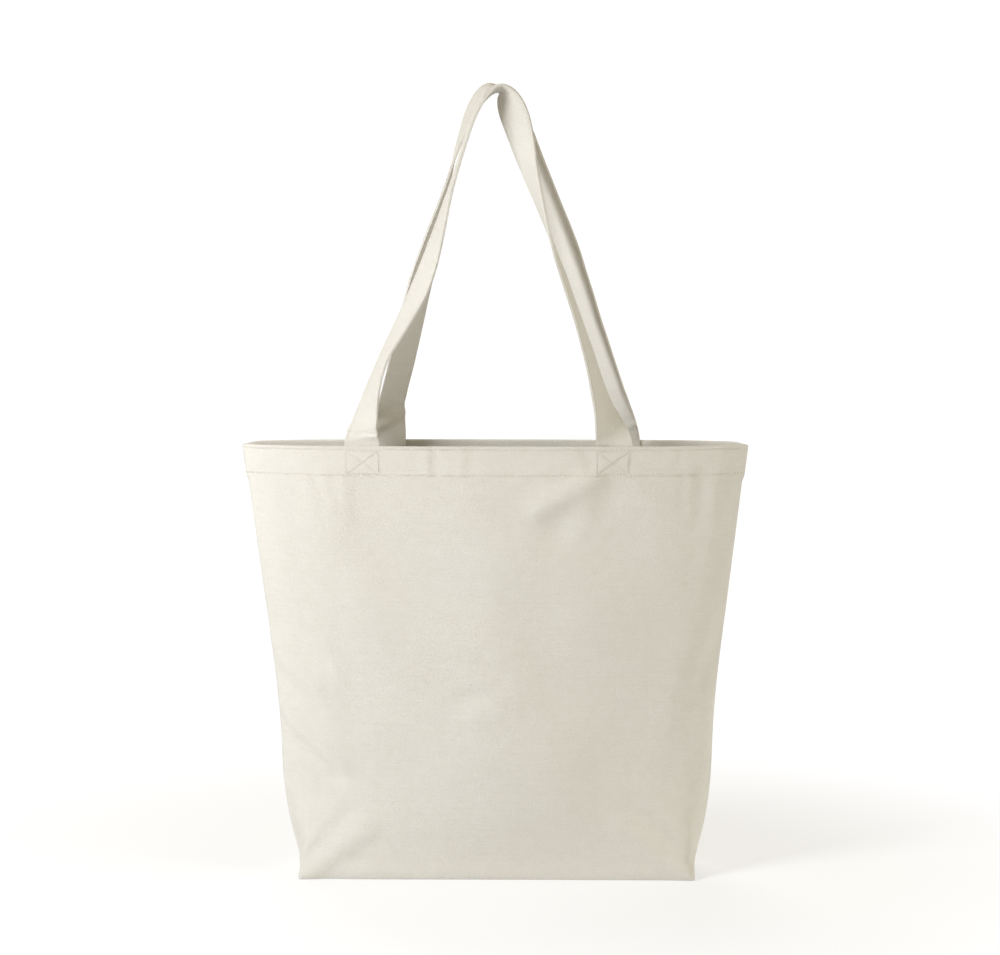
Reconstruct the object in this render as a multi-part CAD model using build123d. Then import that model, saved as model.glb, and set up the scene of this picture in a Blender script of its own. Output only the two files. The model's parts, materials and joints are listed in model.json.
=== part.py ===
"""Canvas tote bag with a boxed bottom and two self-fabric handles.

Millimetres. The origin is the centre of the base's underside, +Z is up, +X runs along the mouth
from side seam to side seam, and -Y is the front. Two cloth panels are sewn together down the sides
and under the base, the rim is turned in as a hem, and each handle is a folded strap whose two ends
are sewn to the inside of the hem with a box and cross of stitches.
"""

import math
import os

from build123d import *

# Body
MOUTH_WIDTH = 458.0  # between the side seams at the rim
MOUTH_DEPTH = 44.0  # front to back across the mouth
RIM_FLAT = 354.0  # straight middle of the rim, before it turns in to the side seams
BASE_LENGTH = 356.0
BASE_DEPTH = 102.0
BODY_HEIGHT = 389.0
CLOTH = 0.9
HEM = 27.0  # the rim's turned-in depth

# Seams
ALLOWANCE = 10.0  # cloth beyond a seam, inside the bag
OVERLOCK = 4.0  # width of the thread that binds a cut edge
THREAD = 0.35  # how far a thread stands off the cloth
STITCH_WIDTH = 0.7
GAP = 0.02  # between a thread or a strap end and the cloth it is sewn to
RIM_ROW = 3.0  # a stitch row's distance below the rim
HEM_ROW = 25.5

# Handles
STRAP_WIDTH = 32.0
STRAP_THICKNESS = 2.4
END_ABOVE_RIM = 0.5  # a sewn strap end's top over the rim
EDGE_ROW = 2.4  # edge stitching's distance from the strap's edge
FRONT_SEATS = (-121.0, 105.5)  # where the strap ends are sewn, along X
BACK_SEATS = (-99.5, 113.0)
SPANS_PER_STATION = 5  # ruled strips between two stations of a handle

# A handle's stations, from the left foot over the top to the right foot: X, Y, Z of the strap's
# middle, and its turn in degrees. At 0 the strap faces front, and at 90 it lies edge-on.
FRONT_HANDLE = [
    (-121.0, -19.6, 390.0, 0),
    (-118.5, -19.2, 409.0, 42),
    (-103.5, -17.6, 463.0, 74),
    (-66.5, -16.6, 536.0, 60),
    (-39.5, -16.6, 624.0, 84),
    (-19.5, -17.2, 684.0, 86),
    (1.5, -17.4, 707.5, 101),
    (15.0, -17.0, 685.0, 142),
    (32.5, -17.0, 624.0, 112),
    (53.2, -17.0, 558.0, 86),
    (75.0, -17.0, 494.0, 79),
    (95.0, -18.4, 425.0, 59),
    (105.5, -19.6, 390.0, 0),
]
BACK_HANDLE = [
    (-99.5, 19.6, 390.0, 0),
    (-96.5, 18.6, 422.0, -44),
    (-85.5, 17.4, 468.0, -48),
    (-69.0, 16.8, 537.0, -53),
    (-51.0, 16.8, 602.0, -79),
    (-37.5, 17.0, 650.0, -94),
    (-21.0, 17.4, 693.0, -109),
    (-5.0, 17.6, 710.0, -96),
    (18.0, 17.2, 688.0, -76),
    (44.0, 16.8, 615.0, -58),
    (65.0, 16.6, 558.0, -51),
    (86.0, 17.0, 494.0, -56),
    (106.8, 18.6, 425.0, -43),
    (113.0, 19.6, 390.0, 0),
]

FACE_LEAN = math.atan2((BASE_DEPTH - MOUTH_DEPTH) / 2, BODY_HEIGHT)  # the big faces' slope


def section(z, inset=0.0):
    """The body's six-sided outline at height z, each side moved in by inset."""
    share = z / BODY_HEIGHT
    seam = (BASE_LENGTH + share * (MOUTH_WIDTH - BASE_LENGTH)) / 2
    corner = (BASE_LENGTH + share * (RIM_FLAT - BASE_LENGTH)) / 2
    depth = (BASE_DEPTH + share * (MOUTH_DEPTH - BASE_DEPTH)) / 2
    outline = [(-seam, 0), (-corner, -depth), (corner, -depth), (seam, 0), (corner, depth), (-corner, depth)]
    points = [Vector(x, y, z) for x, y in outline]
    inward = []
    for here, there in zip(points, points[1:] + points[:1]):
        along = (there - here).normalized()
        inward.append(Vector(-along.Y, along.X, 0))
    moved = []
    for point, before, after in zip(points, inward[-1:] + inward[:-1], inward):
        moved.append(point + (before + after) * (inset / (1 + before.dot(after))))
    return moved


def outline_face(points):
    return make_face(Polyline(*points, close=True))


def body_solid(low, high, inset=0.0):
    """The body's outer form between two heights, moved in by inset."""
    return loft([outline_face(section(low, inset)), outline_face(section(high, inset))], ruled=True)


def seam_corner(z, inset):
    """X of the right side seam at height z, on the face that is inset from the outside."""
    return section(z, inset)[3].X


def slab(x_low, x_high, y_low, y_high, z_low, z_high):
    box = Box(x_high - x_low, y_high - y_low, z_high - z_low)
    return Pos((x_low + x_high) / 2, (y_low + y_high) / 2, (z_low + z_high) / 2) * box


def side_strip(from_seam, to_seam, y_low, y_high):
    """A strip inside the right side seam, between two distances from it, under the hem."""
    z_low = 3 * CLOTH + 1.0
    z_high = BODY_HEIGHT - HEM - 1.0
    corners = [
        (seam_corner(z_low, CLOTH) - to_seam, z_low),
        (seam_corner(z_low, CLOTH) - from_seam, z_low),
        (seam_corner(z_high, CLOTH) - from_seam, z_high),
        (seam_corner(z_high, CLOTH) - to_seam, z_high),
    ]
    face = make_face(Polyline(*[Vector(x, y_low, z) for x, z in corners], close=True))
    return extrude(face, amount=y_high - y_low, dir=(0, 1, 0))


def mirrored_x(shape):
    return mirror(shape, about=Plane.YZ)


def mirrored_y(shape):
    return mirror(shape, about=Plane.XZ)


def panels():
    """The front and back panels: a big face, half of each side, half of the base, and the hem."""
    hem_low = BODY_HEIGHT - HEM
    shell = body_solid(0, BODY_HEIGHT) - body_solid(CLOTH, BODY_HEIGHT, CLOTH)
    hem = body_solid(hem_low, BODY_HEIGHT, CLOTH / 2) - body_solid(hem_low, BODY_HEIGHT, 2 * CLOTH)
    half = slab(-MOUTH_WIDTH, MOUTH_WIDTH, -BASE_DEPTH, 0, -1, BODY_HEIGHT + 1)
    front = (shell + hem) & half
    back = mirrored_y(front)

    bite = CLOTH / 2  # how far an allowance is let into its own panel
    side = side_strip(-bite, ALLOWANCE, -CLOTH, 0)
    front = front + side + mirrored_x(side)
    back = back + mirrored_y(side) + mirrored_y(mirrored_x(side))

    inner_end = BASE_LENGTH / 2 - CLOTH
    corner = slab(inner_end - ALLOWANCE, inner_end, 1 - BASE_DEPTH / 2, 0, bite, 3 * CLOTH)
    front = front + corner + mirrored_x(corner)
    back = back + mirrored_y(corner) + mirrored_y(mirrored_x(corner))

    # The bottom seam's two allowances lie flat, towards the back, the front panel's on top.
    reach = inner_end - ALLOWANCE - 1.0
    riser = slab(-reach, reach, -CLOTH, 0, bite, 3 * CLOTH)
    tongue = slab(-reach, reach, -bite, ALLOWANCE, 2 * CLOTH, 3 * CLOTH)
    under = slab(-reach, reach, 0, ALLOWANCE, bite, 2 * CLOTH)
    return front + riser + tongue, back + under


def side_overlock():
    """The thread bound round the right side seam's two cut edges."""
    wrap = CLOTH + THREAD + GAP
    sleeve = side_strip(ALLOWANCE - OVERLOCK, ALLOWANCE + THREAD + GAP, -wrap, wrap)
    return sleeve - side_strip(ALLOWANCE - OVERLOCK - 1, ALLOWANCE + GAP, -CLOTH - GAP, CLOTH + GAP)


def side_seam_thread():
    """The lockstitch that joins the panels at the right side seam, seen on the front allowance."""
    start = ALLOWANCE - OVERLOCK - 1.5
    return side_strip(start - STITCH_WIDTH, start, -CLOTH - GAP - THREAD, -CLOTH - GAP)


def bottom_overlock():
    """The thread along the bottom seam's cut edges, over the top and down the edge."""
    reach = BASE_LENGTH / 2 - CLOTH - ALLOWANCE - 2.0
    top = 3 * CLOTH + GAP
    edge = ALLOWANCE + GAP
    over = slab(-reach, reach, ALLOWANCE - OVERLOCK, edge + THREAD, top, top + THREAD)
    return over + slab(-reach, reach, edge, edge + THREAD, CLOTH + GAP, top + THREAD)


def corner_overlock():
    """The thread along the right boxed corner's cut edges."""
    edge = BASE_LENGTH / 2 - CLOTH - ALLOWANCE - GAP
    reach = BASE_DEPTH / 2 - 2.0
    top = 3 * CLOTH + GAP
    over = slab(edge - THREAD, edge + OVERLOCK, -reach, reach, top, top + THREAD)
    front_down = slab(edge - THREAD, edge, -reach, -CLOTH - 1, CLOTH + GAP, top + THREAD)
    back_down = slab(edge - THREAD, edge, ALLOWANCE + 1, reach, CLOTH + GAP, top + THREAD)
    return over + front_down + back_down


def stitch_ring(below_rim):
    """A row of stitching round the whole rim, standing off the cloth."""
    low = BODY_HEIGHT - below_rim - STITCH_WIDTH / 2
    high = low + STITCH_WIDTH
    return body_solid(low, high, -GAP - THREAD) - body_solid(low - 1, high + 1, -GAP)


def front_face_plane(x):
    """On the front panel's outer face at the rim: X along the rim, Y up the face, Z outwards."""
    outwards = (0, -math.cos(FACE_LEAN), math.sin(FACE_LEAN))
    return Plane(origin=(x, -MOUTH_DEPTH / 2, BODY_HEIGHT), x_dir=(1, 0, 0), z_dir=outwards)


def strap_end(x):
    """The part of a strap that is sewn to the inside of the front hem."""
    height = HEM + END_ABOVE_RIM
    plate = Box(STRAP_WIDTH, height, STRAP_THICKNESS)
    depth = 2 * CLOTH + GAP + STRAP_THICKNESS / 2
    return front_face_plane(x) * Pos(0, END_ABOVE_RIM - height / 2, -depth) * plate


def box_stitch(x):
    """A box and cross of stitches on the front face, over a strap's end."""
    width = STRAP_WIDTH - 2.0
    height = HEM_ROW - RIM_ROW - 3 * STITCH_WIDTH
    frame = Rectangle(width, height) - Rectangle(width - 2 * STITCH_WIDTH, height - 2 * STITCH_WIDTH)
    tilt = math.degrees(math.atan2(height, width))
    bar = Rectangle(math.hypot(width, height) - 3 * STITCH_WIDTH, STITCH_WIDTH)
    stitches = frame + Rot(0, 0, tilt) * bar + Rot(0, 0, -tilt) * bar
    middle = -(HEM_ROW + RIM_ROW) / 2
    return front_face_plane(x) * Pos(0, middle, GAP) * extrude(stitches, amount=THREAD)


def between(before, start, end, after, share):
    """One number of a smooth curve that passes through start and end."""
    slope_in, slope_out = (end - before) / 2, (after - start) / 2
    s2, s3 = share**2, share**3
    rise = 3 * s2 - 2 * s3
    return start + rise * (end - start) + (s3 - 2 * s2 + share) * slope_in + (s3 - s2) * slope_out


def handle_line(stations):
    """The strap's middle, its across direction and its facing direction at each ruled section."""
    padded = [stations[0], *stations, stations[-1]]
    rows = []
    for i in range(len(stations) - 1):
        four = padded[i : i + 4]
        for k in range(SPANS_PER_STATION):
            rows.append([between(*numbers, k / SPANS_PER_STATION) for numbers in zip(*four)])
    rows.append(list(stations[-1]))
    middles = [Vector(*row[:3]) for row in rows]
    frames = []
    for i, (middle, row) in enumerate(zip(middles, rows)):
        along = middles[min(i + 1, len(rows) - 1)] - middles[max(i - 1, 0)]
        if i in (0, len(rows) - 1):
            along = Vector(0, 0, along.Z)  # a foot stands straight up from its sewn end
        along = Vector(along.X, 0, along.Z).normalized()
        inside = Vector(along.Z, 0, -along.X)  # towards the inside of the arch
        turn = math.radians(row[3])
        across = inside * math.cos(turn) - Vector(0, math.sin(turn), 0)
        frames.append((middle, across, along.cross(across)))
    return frames


def ribbon(frames, low, high, inner, outer):
    """A ruled solid along a handle: from low to high across it, and from inner to outer off its middle."""
    corners = [(low, inner), (high, inner), (high, outer), (low, outer)]
    outlines = []
    for middle, across, facing in frames:
        outlines.append(Wire.make_polygon([middle + across * a + facing * f for a, f in corners]))
    stretches = []
    for i in range(0, len(outlines) - 1, SPANS_PER_STATION):
        stretches.append(Solid.make_loft(outlines[i : i + SPANS_PER_STATION + 1], ruled=True))
    return stretches[0].fuse(*stretches[1:], glue=True)


def handle(frames):
    half = STRAP_WIDTH / 2
    return ribbon(frames, -half, half, -STRAP_THICKNESS / 2, STRAP_THICKNESS / 2)


def edge_stitching(frames):
    """Two rows of thread near the strap's edges, on both of its faces."""
    row = STRAP_WIDTH / 2 - EDGE_ROW
    half = STITCH_WIDTH / 2
    low, high = STRAP_THICKNESS / 2 + GAP, STRAP_THICKNESS / 2 + GAP + THREAD
    rows = []
    for place in (-row, row):
        rows.append(ribbon(frames, place - half, place + half, low, high))
        rows.append(ribbon(frames, place - half, place + half, -high, -low))
    return Compound(children=rows)


def build():
    front_panel, back_panel = panels()
    front_frames, back_frames = handle_line(FRONT_HANDLE), handle_line(BACK_HANDLE)
    nodes = {
        "front_panel": front_panel,
        "back_panel": back_panel,
        "rim_stitching": stitch_ring(RIM_ROW),
        "hem_stitching": stitch_ring(HEM_ROW),
        "right_side_overlock": side_overlock(),
        "left_side_overlock": mirrored_x(side_overlock()),
        "right_side_seam_thread": side_seam_thread(),
        "left_side_seam_thread": mirrored_x(side_seam_thread()),
        "bottom_overlock": bottom_overlock(),
        "right_corner_overlock": corner_overlock(),
        "left_corner_overlock": mirrored_x(corner_overlock()),
        "front_handle": handle(front_frames),
        "front_handle_edge_stitching": edge_stitching(front_frames),
        "back_handle": handle(back_frames),
        "back_handle_edge_stitching": edge_stitching(back_frames),
    }
    for side, front_x, back_x in zip(("left", "right"), FRONT_SEATS, BACK_SEATS):
        nodes[f"front_handle_{side}_end"] = strap_end(front_x)
        nodes[f"back_handle_{side}_end"] = mirrored_y(strap_end(back_x))
        nodes[f"front_{side}_box_stitch"] = box_stitch(front_x)
        nodes[f"back_{side}_box_stitch"] = mirrored_y(box_stitch(back_x))
    return nodes


def main():
    os.makedirs("parts", exist_ok=True)
    for name, shape in build().items():
        export_step(shape, f"parts/{name}.step")


main()
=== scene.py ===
import json
import math

import bpy
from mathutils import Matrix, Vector, noise

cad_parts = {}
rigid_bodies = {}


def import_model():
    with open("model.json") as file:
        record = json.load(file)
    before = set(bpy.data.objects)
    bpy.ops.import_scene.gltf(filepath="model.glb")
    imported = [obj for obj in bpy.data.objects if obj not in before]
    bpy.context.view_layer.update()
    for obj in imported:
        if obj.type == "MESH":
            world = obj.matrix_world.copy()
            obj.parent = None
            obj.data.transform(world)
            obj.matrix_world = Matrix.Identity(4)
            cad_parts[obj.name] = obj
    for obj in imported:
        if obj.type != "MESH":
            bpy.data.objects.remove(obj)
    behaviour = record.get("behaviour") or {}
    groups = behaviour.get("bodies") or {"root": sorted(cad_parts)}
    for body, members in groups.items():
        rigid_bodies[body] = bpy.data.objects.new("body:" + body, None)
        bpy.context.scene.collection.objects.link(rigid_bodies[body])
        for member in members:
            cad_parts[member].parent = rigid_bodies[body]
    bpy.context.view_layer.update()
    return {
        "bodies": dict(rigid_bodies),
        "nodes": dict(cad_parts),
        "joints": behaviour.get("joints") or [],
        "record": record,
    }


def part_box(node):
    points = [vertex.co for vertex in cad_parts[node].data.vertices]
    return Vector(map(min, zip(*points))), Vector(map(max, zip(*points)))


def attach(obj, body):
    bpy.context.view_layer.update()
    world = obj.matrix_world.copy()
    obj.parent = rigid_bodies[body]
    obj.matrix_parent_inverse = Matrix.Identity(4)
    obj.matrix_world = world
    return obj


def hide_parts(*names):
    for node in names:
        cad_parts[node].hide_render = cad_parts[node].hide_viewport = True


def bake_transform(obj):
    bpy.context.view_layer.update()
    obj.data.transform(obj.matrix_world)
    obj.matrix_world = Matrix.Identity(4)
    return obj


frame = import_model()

# Sizes that the frame gives: the rim, the mouth, the base's depth and both stitch rows.
frontLow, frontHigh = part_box("front_panel")
rimHeight = frontHigh[2]
mouthHalf = frontHigh[0]
baseDepthHalf = -frontLow[1]
rimRowLow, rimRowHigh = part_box("rim_stitching")
rimDepthHalf = (rimRowHigh[1] - rimRowLow[1]) / 2 - 0.0005  # less the thread on the cloth
rimRowHeight = (rimRowLow[2] + rimRowHigh[2]) / 2
hemRowLow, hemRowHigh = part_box("hem_stitching")
hemRowHeight = (hemRowLow[2] + hemRowHigh[2]) / 2


def mix(a, b, share):
    return a + (b - a) * share


def smooth(low, high, value):
    share = min(max((value - low) / (high - low), 0.0), 1.0)
    return share * share * (3 - 2 * share)


def bell(value, width):
    return math.exp(-((value / width) ** 2))


def addObject(name, data):
    made = bpy.data.objects.new(name, data)
    bpy.context.collection.objects.link(made)
    return made


# Camera, light and floor.
view = {
    "turn": -1.0,  # degrees that the camera looks to the right of straight ahead
    "rise": 6.0,  # degrees that it looks down
    "distance": 3.0,
    "aim": (0.0027, -0.022, 0.3613),
    "fieldWidth": 0.896,  # metres across the frame at the aim
    "sensor": 36.0,  # millimetres
}


def makeCamera():
    turn, rise = math.radians(view["turn"]), math.radians(view["rise"])
    level = math.cos(rise)
    towards = Vector((math.sin(turn) * level, math.cos(turn) * level, -math.sin(rise)))
    data = bpy.data.cameras.new("camera")
    data.sensor_width = view["sensor"]
    data.lens = view["sensor"] * view["distance"] / view["fieldWidth"]
    camera = addObject("camera", data)
    camera.location = Vector(view["aim"]) - towards * view["distance"]
    camera.rotation_euler = towards.to_track_quat("-Z", "Y").to_euler()
    bpy.context.scene.camera = camera


lamps = {
    "key": {"at": (-0.80, -0.62, 0.80), "size": 0.45, "watts": 11.0, "colour": (0.955, 0.974, 1.0)},
    "fill": {"at": (1.5, -0.35, 0.9), "size": 1.2, "watts": 12.6, "colour": (1.0, 0.972, 0.875)},
    "back": {"at": (-0.3, 1.6, 1.7), "size": 1.4, "watts": 17.0, "colour": (1.0, 0.96, 0.88)},
}
lampAim = (0.0, 0.0, 0.3)


def makeLights():
    for name, lamp in lamps.items():
        data = bpy.data.lights.new(name, "AREA")
        data.size = lamp["size"]
        data.energy = lamp["watts"]
        data.color = lamp["colour"]
        light = addObject(name, data)
        light.location = lamp["at"]
        aim = Vector(lampAim) - Vector(lamp["at"])
        light.rotation_euler = aim.to_track_quat("-Z", "Y").to_euler()


class Wire:
    # wraps one socket, so that node maths reads as arithmetic

    def __init__(self, tree, socket=None):
        self.tree = tree
        self.socket = socket

    def node(self, kind, settings=None, sockets=None, out=0):
        made = self.tree.nodes.new(kind)
        for name, value in (settings or {}).items():
            setattr(made, name, value)
        for key, value in (sockets or {}).items():
            if isinstance(value, Wire):
                self.tree.links.new(value.socket, made.inputs[key])
            else:
                made.inputs[key].default_value = value
        return Wire(self.tree, made.outputs[out] if len(made.outputs) else None)

    def maths(self, operation, *values):
        return self.node("ShaderNodeMath", {"operation": operation}, dict(enumerate(values)))

    def __add__(self, other):
        return self.maths("ADD", self, other)

    __radd__ = __add__

    def __sub__(self, other):
        return self.maths("SUBTRACT", self, other)

    def __rsub__(self, other):
        return self.maths("SUBTRACT", other, self)

    def __mul__(self, other):
        return self.maths("MULTIPLY", self, other)

    __rmul__ = __mul__

    def __truediv__(self, other):
        return self.maths("DIVIDE", self, other)

    def __pow__(self, other):
        return self.maths("POWER", self, other)

    def sine(self):
        return self.maths("SINE", self)

    def size(self):
        return self.maths("ABSOLUTE", self)

    def step(self, low, high):
        settings = {"interpolation_type": "SMOOTHSTEP"}
        return self.node("ShaderNodeMapRange", settings, {0: self, 1: low, 2: high})

    def tint(self, a, b):
        # this wire is the share of colour b over colour a
        return self.node("ShaderNodeMix", {"data_type": "RGBA"}, {0: self, 6: a, 7: b}, out=2)

    def stretched(self, x, y, z):
        return self.node("ShaderNodeVectorMath", {"operation": "MULTIPLY"}, {0: self, 1: (x, y, z)})

    def clouds(self, scale, detail=3.0, rough=0.55):
        return self.node("ShaderNodeTexNoise", {}, {"Vector": self, "Scale": scale, "Detail": detail,
                                                    "Roughness": rough})


def startMaterial(name):
    material = bpy.data.materials.new(name)
    material.use_nodes = True
    tree = material.node_tree
    tree.nodes.clear()
    return material, Wire(tree)


def finishMaterial(start, colour, roughness, bump, look):
    # one cloth shader for every finish, with its sheen and shine set on the shader's own sockets
    shader = start.node("ShaderNodeBsdfPrincipled", {}, {
        "Base Color": colour, "Roughness": roughness, "Normal": bump, "IOR": 1.45,
        "Specular IOR Level": look["shine"], "Sheen Weight": look["sheen"], "Sheen Roughness": 0.5,
    })
    start.node("ShaderNodeOutputMaterial", {}, {"Surface": shader})


canvasLook = {
    "thread": 0.00068,  # metres between neighbouring threads
    "pale": (0.822, 0.806, 0.762, 1.0),
    "warm": (0.745, 0.715, 0.645, 1.0),
    "light": (0.880, 0.865, 0.825, 1.0),
    # dark flecks in the cloth, also used as painted shade in the needle holes
    "fleckAndHoleShade": (0.38, 0.30, 0.20, 1.0),
    # a darker colour for the cloth's grain, also used as painted shade between the weave's threads
    "grainAndWeaveShade": (0.62, 0.58, 0.49, 1.0),
    "roughness": 0.86,
    "sheen": 0.12,
    "shine": 0.25,
    "stitchPitch": 0.0025,
    # how high each part of the cloth stands, in metres
    "weaveHigh": 0.00016,
    "slubHigh": 0.00007,
    "fibreHigh": 0.00003,
    "unevenHigh": 0.00030,
    "grainHigh": 0.00016,
    "nepHigh": 0.00014,
    "boxHigh": 0.00034,
    # how deep the stitches draw it in, everywhere along a row and more at each stitch
    "rowDeep": (0.00012, 0.00030),
    "boxDeep": (0.00022, 0.00020),
}


def weaveHeight(across, along, thread):
    # plain weave: over and under alternate in both directions
    a = (across * (math.pi / thread)).sine()
    b = (along * (math.pi / thread)).sine()
    over = (a * b).step(-0.25, 0.25)
    warp = a.size() ** 0.6
    weft = b.size() ** 0.6
    return over * warp + (1 - over) * weft


def boxGroove(across, along, middle, half):
    # nearness to a box and cross of stitches, and how far inside the box a point lies
    a = (across - middle[0]).size()
    b = (along - middle[1]).size()
    beyond = a.maths("MAXIMUM", a - half[0], b - half[1])
    diagonal = ((a * half[1] - b * half[0]) / math.hypot(*half)).size()
    inside = 1 - beyond.step(0.0, 0.0006)
    line = 1 - beyond.size().step(0.0001, 0.0011)
    cross = (1 - diagonal.step(0.0001, 0.0011)) * inside
    return line.maths("MAXIMUM", line, cross), 1 - beyond.step(-0.0010, 0.0024)


def clothMaterial(name, look, stitched=(), boxes=()):
    material, start = startMaterial(name)
    uv = start.node("ShaderNodeUVMap", {"uv_map": "cloth"})
    place = start.node("ShaderNodeTexCoord", out=3)
    across = uv.node("ShaderNodeSeparateXYZ", {}, {0: uv})
    along = Wire(start.tree, across.socket.node.outputs[1])

    # threads wander a little and swell into slubs
    wander = (uv.clouds(34.0, 2.0) - 0.5) * 0.0016
    weave = weaveHeight(across + wander, along + wander, look["thread"])
    slubWarp = uv.stretched(1700.0, 26.0, 1.0).clouds(1.0, 2.0).step(0.60, 0.78)
    slubWeft = uv.stretched(26.0, 1700.0, 1.0).clouds(1.0, 2.0).step(0.60, 0.78)
    slubs = slubWarp + slubWeft

    cloudy = place.clouds(5.0, 4.0).step(0.30, 0.75)
    mottled = uv.clouds(95.0, 3.0).step(0.35, 0.70)
    streaks = uv.stretched(12.0, 520.0, 1.0).clouds(1.0, 2.0).step(0.40, 0.68)
    flecks = uv.stretched(1.0, 1.4, 1.0).clouds(520.0, 1.0).step(0.735, 0.775)
    fibres = uv.clouds(2600.0, 2.0).step(0.25, 0.80)
    grain = uv.stretched(1.0, 1.7, 1.0).clouds(430.0, 3.0, 0.7).step(0.32, 0.68)
    neps = uv.stretched(1.0, 1.3, 1.0).clouds(640.0, 1.0).step(0.64, 0.74)
    colour = (cloudy * 0.40 + mottled * 0.22 + streaks * 0.16).tint(look["pale"], look["warm"])
    # painted shade: the cloth is darker where the weave dips under, in the gaps between threads; the grain
    # below takes the same colour as the cloth's own tone
    colour = ((1 - weave) * 0.30).tint(colour, look["grainAndWeaveShade"])
    colour = (grain * 0.24).tint(colour, look["grainAndWeaveShade"])
    colour = (fibres * 0.10 + neps * 0.60).tint(colour, look["light"])
    colour = (slubs * 0.16).tint(colour, look["pale"])
    colour = (flecks * 0.45).tint(colour, look["fleckAndHoleShade"])

    height = weave * look["weaveHigh"] + slubs * look["slubHigh"] + fibres * look["fibreHigh"]
    height = height + uv.clouds(210.0, 3.0) * look["unevenHigh"]
    height = height + (1 - grain) * look["grainHigh"] + neps * look["nepHigh"]
    for rowHeight in stitched:
        # needle holes and the cloth drawn down along a stitch row, with painted shade darkening the holes
        gone = (along - rowHeight).size()
        groove = 1 - gone.step(0.0001, 0.0012)
        beat = (across * (2 * math.pi / look["stitchPitch"])).sine() * 0.5 + 0.5
        height = height - groove * (beat * look["rowDeep"][1] + look["rowDeep"][0])
        # painted shade in the needle holes
        holeShade = (1 - gone.step(0.0002, 0.0008)) * beat.step(0.80, 0.97)
        colour = (holeShade * 0.50).tint(colour, look["fleckAndHoleShade"])
    for middle, half in boxes:
        groove, raised = boxGroove(across, along, middle, half)
        beat = ((across + along) * (2 * math.pi / look["stitchPitch"])).sine() * 0.5 + 0.5
        height = height + raised * look["boxHigh"]
        height = height - groove * (beat * look["boxDeep"][1] + look["boxDeep"][0])
    bump = start.node("ShaderNodeBump", {}, {"Strength": 1.0, "Distance": 1.0, "Height": height})
    roughness = (mottled * 0.06 + look["roughness"]) - slubs * 0.03
    finishMaterial(start, colour, roughness, bump, look)
    return material


threadLook = {
    "pale": (0.88, 0.86, 0.81, 1.0),
    "warm": (0.78, 0.74, 0.66, 1.0),
    "bands": 340.0,  # scale of the twisted ply's bands
    "plyHigh": 0.00008,
    "roughness": 0.72,
    "sheen": 0.1,
    "shine": 0.3,
}


def threadMaterial(name, look):
    material, start = startMaterial(name)
    place = start.node("ShaderNodeTexCoord", out=3)
    twist = place.node("ShaderNodeTexWave", {"bands_direction": "DIAGONAL"},
                       {"Vector": place, "Scale": look["bands"], "Distortion": 1.5}, out=1)
    patchy = place.clouds(60.0, 3.0).step(0.30, 0.72)
    # painted shade: the thread is darker in the grooves of its twisted plies, and patchy in tone besides
    colour = (patchy * 0.5 + (1 - twist) * 0.35).tint(look["pale"], look["warm"])
    height = twist * look["plyHigh"]
    bump = start.node("ShaderNodeBump", {}, {"Strength": 0.8, "Distance": 1.0, "Height": height})
    finishMaterial(start, colour, patchy * 0.08 + look["roughness"], bump, look)
    return material


floorLook = {
    "reach": 0.9,
    "corners": 64,
    "clearFrom": 0.20,  # metres from the bag's middle where the floor begins to turn clear white
    "clearAt": 0.75,
    "clearLeast": 0.50,
    "pale": (0.90, 0.90, 0.90, 1.0),
    "dull": (0.86, 0.86, 0.86, 1.0),
    "glow": 1.05,
}
roomLook = {
    "light": (0.290, 0.256, 0.190, 1.0),  # a warm room lights the cloth
    "seen": (1.05, 1.05, 1.05, 1.0),  # and what shows behind it is white
}


def floorMaterial():
    # matt white close to the bag, and clear white further out, so that no horizon shows
    material, start = startMaterial("floor")
    place = start.node("ShaderNodeTexCoord", out=3)
    reach = place.node("ShaderNodeVectorMath", {"operation": "LENGTH"}, {0: place}, out=1)
    grain = place.clouds(3.0, 2.0)
    colour = (grain * 0.3).tint(floorLook["pale"], floorLook["dull"])
    near = start.node("ShaderNodeBsdfDiffuse", {}, {"Color": colour})
    far = start.node("ShaderNodeEmission", {}, {"Color": (1, 1, 1, 1), "Strength": floorLook["glow"]})
    least = floorLook["clearLeast"]
    share = reach.step(floorLook["clearFrom"], floorLook["clearAt"]) * (1 - least) + least
    both = start.node("ShaderNodeMixShader", {}, {0: share, 1: near, 2: far})
    start.node("ShaderNodeOutputMaterial", {}, {"Surface": both})
    return material


def makeStage():
    mesh = bpy.data.meshes.new("floor")
    reach, corners = floorLook["reach"], floorLook["corners"]
    turns = [2 * math.pi * k / corners for k in range(corners)]
    around = [(reach * math.cos(turn), reach * math.sin(turn), 0) for turn in turns]
    mesh.from_pydata(around, [], [tuple(range(corners))])
    floor = addObject("floor", mesh)
    mesh.materials.append(floorMaterial())

    world = bpy.data.worlds.new("studio")
    world.use_nodes = True
    world.node_tree.nodes.clear()
    start = Wire(world.node_tree)
    seen = start.node("ShaderNodeLightPath")
    colour = seen.tint(roomLook["light"], roomLook["seen"])
    light = start.node("ShaderNodeBackground", {}, {"Color": colour, "Strength": 1.0})
    start.node("ShaderNodeOutputWorld", {}, {"Surface": light})
    bpy.context.scene.world = world
    bpy.context.scene.view_settings.view_transform = "Standard"


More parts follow.
